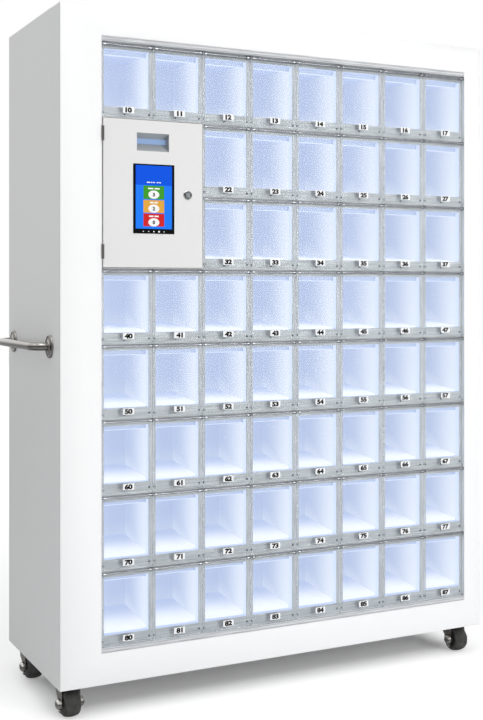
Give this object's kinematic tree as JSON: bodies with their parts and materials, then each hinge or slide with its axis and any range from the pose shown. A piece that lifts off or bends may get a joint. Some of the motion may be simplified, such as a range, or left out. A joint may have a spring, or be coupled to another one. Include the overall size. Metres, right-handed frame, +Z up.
{
  "type": "suture cabinet",
  "caption": "Wheeled upright supply cabinet with a grid of lit compartments behind clear flip-up doors, a control door with touch screen, and side push handles.",
  "frame": {"origin": "on the floor, under the centre of the whole cabinet's bounding box", "axes": "+X to the right seen from the front, the front faces -Y, +Z up"},
  "size_m": [1.512, 0.5162, 1.941],
  "materials": {
    "case_white": "satin powder coat",
    "grid_grey": "brushed",
    "trim_grey": "satin",
    "bin_white": "smooth",
    "lamp_lens": "frosted",
    "clear_door": "clear",
    "latch_grey": "smooth",
    "bumper_rubber": "matt",
    "steel_rod": "ground",
    "hinge_ear": "satin",
    "bay_steel": "satin",
    "hinge_steel": "dark",
    "door_paint": "satin powder coat",
    "pocket_grey": "satin",
    "window_blue": "tinted",
    "bezel_black": "gloss",
    "screen_blue": "lit",
    "lock_chrome": "satin chrome",
    "plug_steel": "satin",
    "board_green": "lacquered",
    "supply_metal": "plain",
    "inlet_black": "moulded",
    "handle_steel": "polished",
    "flange_steel": "polished",
    "plate_dark": "satin",
    "fork_steel": "bright zinc",
    "wheel_black": "matt",
    "pedal_black": "moulded",
    "screw_steel": "zinc"
  },
  "bodies": {
    "cabinet": {"back_panel": "case_white", "base_pan": "case_white", "caster_plates": "plate_dark", "compartment_back": "bin_white", "compartment_ceilings": "bin_white", "compartment_dividers": "bin_white", "compartment_shelves": "bin_white", "control_bay_box": "bay_steel", "control_hinges": "hinge_steel", "controller_board": "board_green", "door_bumpers": "bumper_rubber", "door_latches": "latch_grey", "fasteners": "screw_steel", "front_frame": "case_white", "grid_mullions": "grid_grey", "grid_rails": "grid_grey", "handle_bar_left": "handle_steel", "handle_bar_right": "handle_steel", "handle_flanges": "flange_steel", "hinge_ears": "hinge_ear", "hinge_rods": "steel_rod", "led_strips": "lamp_lens", "left_side_panel": "case_white", "power_inlet": "inlet_black", "power_supply": "supply_metal", "right_side_panel": "case_white", "top_panel": "case_white", "trim_bars": "trim_grey"},
    "control_door": {"control_door": "door_paint", "control_hinge_leaves": "hinge_steel", "scanner_pocket": "pocket_grey", "scanner_window": "window_blue", "screen_bezel": "bezel_black", "screen_panel": "screen_blue", "lock_housing": "lock_chrome"},
    "lock_plug": {"lock_plug": "plug_steel"},
    "door_10": {"door_10": "clear_door"},
    "door_40": {"door_40": "clear_door"},
    "door_50": {"door_50": "clear_door"},
    "door_60": {"door_60": "clear_door"},
    "door_70": {"door_70": "clear_door"},
    "door_80": {"door_80": "clear_door"},
    "doors_11_to_17": {"doors_11_to_17": "clear_door"},
    "doors_22_to_27": {"doors_22_to_27": "clear_door"},
    "doors_32_to_37": {"doors_32_to_37": "clear_door"},
    "doors_41_to_47": {"doors_41_to_47": "clear_door"},
    "doors_51_to_57": {"doors_51_to_57": "clear_door"},
    "doors_61_to_67": {"doors_61_to_67": "clear_door"},
    "doors_71_to_77": {"doors_71_to_77": "clear_door"},
    "doors_81_to_87": {"doors_81_to_87": "clear_door"},
    "caster_fork_front_left": {"caster_fork_front_left": "fork_steel"},
    "caster_wheel_front_left": {"caster_wheel_front_left": "wheel_black"},
    "caster_fork_front_right": {"caster_fork_front_right": "fork_steel"},
    "caster_wheel_front_right": {"caster_wheel_front_right": "wheel_black"},
    "caster_fork_rear_left": {"caster_fork_rear_left": "fork_steel"},
    "caster_wheel_rear_left": {"caster_wheel_rear_left": "wheel_black"},
    "caster_brake_rear_left": {"caster_brake_rear_left": "pedal_black"},
    "caster_fork_rear_right": {"caster_fork_rear_right": "fork_steel"},
    "caster_wheel_rear_right": {"caster_wheel_rear_right": "wheel_black"},
    "caster_brake_rear_right": {"caster_brake_rear_right": "pedal_black"}
  },
  "joints": [
    {"name": "control_door_hinge", "type": "hinge", "parent": "cabinet", "child": "control_door", "pos_m": [-0.57925, -0.2551, 1.434], "axis": [0, 0, -1], "range_deg": [0, 110]},
    {"name": "lock_turn", "type": "hinge", "parent": "control_door", "child": "lock_plug", "pos_m": [-0.327, -0.2519, 1.435], "axis": [0, -1, 0], "range_deg": [0, 90]},
    {"name": "door_10_hinge", "type": "hinge", "parent": "cabinet", "child": "door_10", "pos_m": [-0.5058, -0.2459, 1.8405], "axis": [-1, 0, 0], "range_deg": [0, 90]},
    {"name": "door_40_hinge", "type": "hinge", "parent": "cabinet", "child": "door_40", "pos_m": [-0.5058, -0.2459, 1.2195], "axis": [-1, 0, 0], "range_deg": [0, 90]},
    {"name": "door_50_hinge", "type": "hinge", "parent": "cabinet", "child": "door_50", "pos_m": [-0.5058, -0.2459, 1.0125], "axis": [-1, 0, 0], "range_deg": [0, 90]},
    {"name": "door_60_hinge", "type": "hinge", "parent": "cabinet", "child": "door_60", "pos_m": [-0.5058, -0.2459, 0.8055], "axis": [-1, 0, 0], "range_deg": [0, 90]},
    {"name": "door_70_hinge", "type": "hinge", "parent": "cabinet", "child": "door_70", "pos_m": [-0.5058, -0.2459, 0.5985], "axis": [-1, 0, 0], "range_deg": [0, 90]},
    {"name": "door_80_hinge", "type": "hinge", "parent": "cabinet", "child": "door_80", "pos_m": [-0.5058, -0.2459, 0.3915], "axis": [-1, 0, 0], "range_deg": [0, 90]},
    {"name": "doors_11_to_17_hinge", "type": "hinge", "parent": "cabinet", "child": "doors_11_to_17", "pos_m": [0.1038, -0.2459, 1.8405], "axis": [-1, 0, 0], "range_deg": [0, 90]},
    {"name": "doors_22_to_27_hinge", "type": "hinge", "parent": "cabinet", "child": "doors_22_to_27", "pos_m": [0.18, -0.2459, 1.6335], "axis": [-1, 0, 0], "range_deg": [0, 90]},
    {"name": "doors_32_to_37_hinge", "type": "hinge", "parent": "cabinet", "child": "doors_32_to_37", "pos_m": [0.18, -0.2459, 1.4265], "axis": [-1, 0, 0], "range_deg": [0, 90]},
    {"name": "doors_41_to_47_hinge", "type": "hinge", "parent": "cabinet", "child": "doors_41_to_47", "pos_m": [0.1038, -0.2459, 1.2195], "axis": [-1, 0, 0], "range_deg": [0, 90]},
    {"name": "doors_51_to_57_hinge", "type": "hinge", "parent": "cabinet", "child": "doors_51_to_57", "pos_m": [0.1038, -0.2459, 1.0125], "axis": [-1, 0, 0], "range_deg": [0, 90]},
    {"name": "doors_61_to_67_hinge", "type": "hinge", "parent": "cabinet", "child": "doors_61_to_67", "pos_m": [0.1038, -0.2459, 0.8055], "axis": [-1, 0, 0], "range_deg": [0, 90]},
    {"name": "doors_71_to_77_hinge", "type": "hinge", "parent": "cabinet", "child": "doors_71_to_77", "pos_m": [0.1038, -0.2459, 0.5985], "axis": [-1, 0, 0], "range_deg": [0, 90]},
    {"name": "doors_81_to_87_hinge", "type": "hinge", "parent": "cabinet", "child": "doors_81_to_87", "pos_m": [0.1038, -0.2459, 0.3915], "axis": [-1, 0, 0], "range_deg": [0, 90]},
    {"name": "swivel_front_left", "type": "hinge", "parent": "cabinet", "child": "caster_fork_front_left", "pos_m": [-0.652, -0.1739, 0.0832], "axis": [0, 0, 1], "continuous": true},
    {"name": "roll_front_left", "type": "hinge", "parent": "caster_fork_front_left", "child": "caster_wheel_front_left", "pos_m": [-0.652, -0.1879, 0.0375], "axis": [1, 0, 0], "continuous": true},
    {"name": "swivel_front_right", "type": "hinge", "parent": "cabinet", "child": "caster_fork_front_right", "pos_m": [0.652, -0.1739, 0.0832], "axis": [0, 0, 1], "continuous": true},
    {"name": "roll_front_right", "type": "hinge", "parent": "caster_fork_front_right", "child": "caster_wheel_front_right", "pos_m": [0.652, -0.1879, 0.0375], "axis": [1, 0, 0], "continuous": true},
    {"name": "swivel_rear_left", "type": "hinge", "parent": "cabinet", "child": "caster_fork_rear_left", "pos_m": [-0.652, 0.1781, 0.0832], "axis": [0, 0, 1], "continuous": true},
    {"name": "roll_rear_left", "type": "hinge", "parent": "caster_fork_rear_left", "child": "caster_wheel_rear_left", "pos_m": [-0.652, 0.1641, 0.0375], "axis": [1, 0, 0], "continuous": true},
    {"name": "brake_rear_left", "type": "hinge", "parent": "caster_fork_rear_left", "child": "caster_brake_rear_left", "pos_m": [-0.652, 0.1981, 0.068], "axis": [-1, 0, 0], "range_deg": [0, 30]},
    {"name": "swivel_rear_right", "type": "hinge", "parent": "cabinet", "child": "caster_fork_rear_right", "pos_m": [0.652, 0.1781, 0.0832], "axis": [0, 0, 1], "continuous": true},
    {"name": "roll_rear_right", "type": "hinge", "parent": "caster_fork_rear_right", "child": "caster_wheel_rear_right", "pos_m": [0.652, 0.1641, 0.0375], "axis": [1, 0, 0], "continuous": true},
    {"name": "brake_rear_right", "type": "hinge", "parent": "caster_fork_rear_right", "child": "caster_brake_rear_right", "pos_m": [0.652, 0.1981, 0.068], "axis": [-1, 0, 0], "range_deg": [0, 30]}
  ]
}
